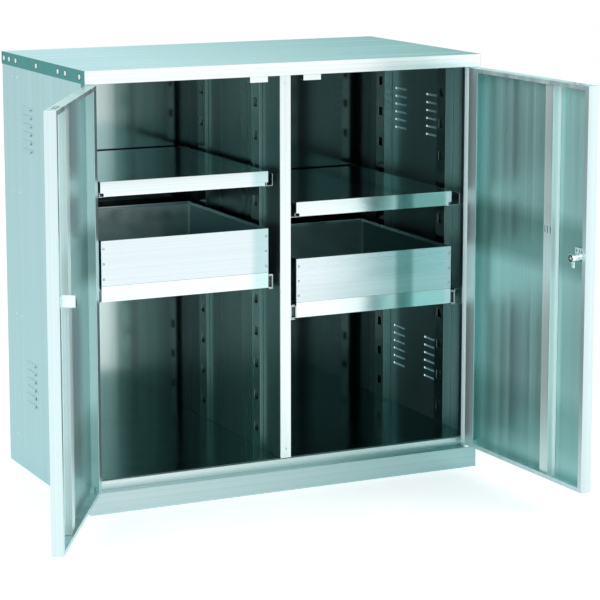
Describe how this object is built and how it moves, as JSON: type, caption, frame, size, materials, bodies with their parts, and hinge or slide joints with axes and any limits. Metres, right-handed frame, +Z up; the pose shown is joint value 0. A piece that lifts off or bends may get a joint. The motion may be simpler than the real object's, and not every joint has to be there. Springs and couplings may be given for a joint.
{
  "type": "chemical storage cabinet",
  "caption": "Low steel storage cabinet with paired hinged doors, a middle post, adjustable shelves and pull-out drawers on telescopic slides, and a lock with a turning cam and rod.",
  "frame": {"origin": "centre of the cabinet's footprint without its open doors, on the surface it stands on", "axes": "+Z up, the doors face -Y, +X to the right of someone facing the doors"},
  "size_m": [1.2639, 1.0539, 1.008],
  "materials": {
    "shell_steel": "brushed stainless sheet",
    "door_steel": "vertically brushed stainless sheet",
    "frame_steel": "bright brushed stainless sheet",
    "tray_steel": "bright stainless sheet",
    "inner_steel": "bright stainless sheet in shade",
    "zinc_hardware": "bright zinc plate",
    "strike_plate": "bright sheet",
    "catch_case": "black moulded case with a pale ball"
  },
  "bodies": {
    "cabinet": {"top_panel": "shell_steel", "left_side_panel": "shell_steel", "right_side_panel": "shell_steel", "back_panel": "shell_steel", "left_jamb": "frame_steel", "right_jamb": "frame_steel", "divider": "frame_steel", "floor_panel": "inner_steel", "bottom_rail": "frame_steel", "header_rail": "inner_steel", "left_catch_strike": "strike_plate", "right_catch_strike": "strike_plate", "plinth_front": "frame_steel", "base_crossmember": "zinc_hardware", "left_outer_front_upright": "inner_steel", "left_outer_rear_upright": "inner_steel", "left_inner_front_upright": "inner_steel", "left_inner_rear_upright": "inner_steel", "right_outer_front_upright": "inner_steel", "right_outer_rear_upright": "inner_steel", "right_inner_front_upright": "inner_steel", "right_inner_rear_upright": "inner_steel", "left_shelf": "tray_steel", "left_outer_shelf_rail": "zinc_hardware", "left_inner_shelf_rail": "zinc_hardware", "left_outer_fixed_slide": "zinc_hardware", "left_inner_fixed_slide": "zinc_hardware", "left_lower_pivot": "zinc_hardware", "left_upper_pivot": "zinc_hardware", "right_shelf": "tray_steel", "right_outer_shelf_rail": "zinc_hardware", "right_inner_shelf_rail": "zinc_hardware", "right_outer_fixed_slide": "zinc_hardware", "right_inner_fixed_slide": "zinc_hardware", "right_lower_pivot": "zinc_hardware", "right_upper_pivot": "zinc_hardware"},
    "left_door": {"left_door_panel": "door_steel", "left_door_stiffener": "door_steel", "left_door_catch": "catch_case", "left_door_keeper": "door_steel"},
    "right_door": {"right_door_panel": "door_steel", "right_door_stiffener": "door_steel", "right_door_catch": "catch_case", "right_door_lock": "zinc_hardware"},
    "lock_cam": {"right_lock_cam": "zinc_hardware"},
    "lock_rod": {"right_lock_rod": "zinc_hardware"},
    "left_drawer": {"left_drawer_tray": "tray_steel", "left_drawer_front": "tray_steel", "left_drawer_walls": "tray_steel", "left_outer_drawer_slide": "zinc_hardware", "left_inner_drawer_slide": "zinc_hardware"},
    "left_middle_slides": {"left_outer_middle_slide": "zinc_hardware", "left_inner_middle_slide": "zinc_hardware"},
    "right_drawer": {"right_drawer_tray": "tray_steel", "right_drawer_front": "tray_steel", "right_drawer_walls": "tray_steel", "right_outer_drawer_slide": "zinc_hardware", "right_inner_drawer_slide": "zinc_hardware"},
    "right_middle_slides": {"right_outer_middle_slide": "zinc_hardware", "right_inner_middle_slide": "zinc_hardware"}
  },
  "joints": [
    {"name": "left_door_hinge", "type": "hinge", "parent": "cabinet", "child": "left_door", "pos_m": [-0.4935, -0.279, 0.5], "axis": [0, 0, -1], "range_deg": [-120, 30]},
    {"name": "right_door_hinge", "type": "hinge", "parent": "cabinet", "child": "right_door", "pos_m": [0.4935, -0.279, 0.5], "axis": [0, 0, 1], "range_deg": [-92, 58]},
    {"name": "left_drawer_slide", "type": "slide", "parent": "cabinet", "child": "left_drawer", "axis": [0, -1, 0], "range_m": [0, 0.234]},
    {"name": "right_drawer_slide", "type": "slide", "parent": "cabinet", "child": "right_drawer", "axis": [0, -1, 0], "range_m": [0, 0.234]},
    {"name": "left_middle_slide", "type": "slide", "parent": "cabinet", "child": "left_middle_slides", "axis": [0, -1, 0], "range_m": [0, 0.117]},
    {"name": "right_middle_slide", "type": "slide", "parent": "cabinet", "child": "right_middle_slides", "axis": [0, -1, 0], "range_m": [0, 0.117]},
    {"name": "lock_turn", "type": "hinge", "parent": "right_door", "child": "lock_cam", "pos_m": [0.47724, -0.74735, 0.592], "axis": [-0.9994, -0.0349, 0], "range_deg": [0, 90]},
    {"name": "lock_rod_slide", "type": "slide", "parent": "right_door", "child": "lock_rod", "axis": [0, 0, -1], "range_m": [0, 0.011]}
  ],
  "couplings": [
    {"joint": "left_middle_slide", "follows": "left_drawer_slide", "ratio": 0.5},
    {"joint": "right_middle_slide", "follows": "right_drawer_slide", "ratio": 0.5},
    {"joint": "lock_rod_slide", "follows": "lock_turn", "m_per_rad": 0.006366}
  ]
}
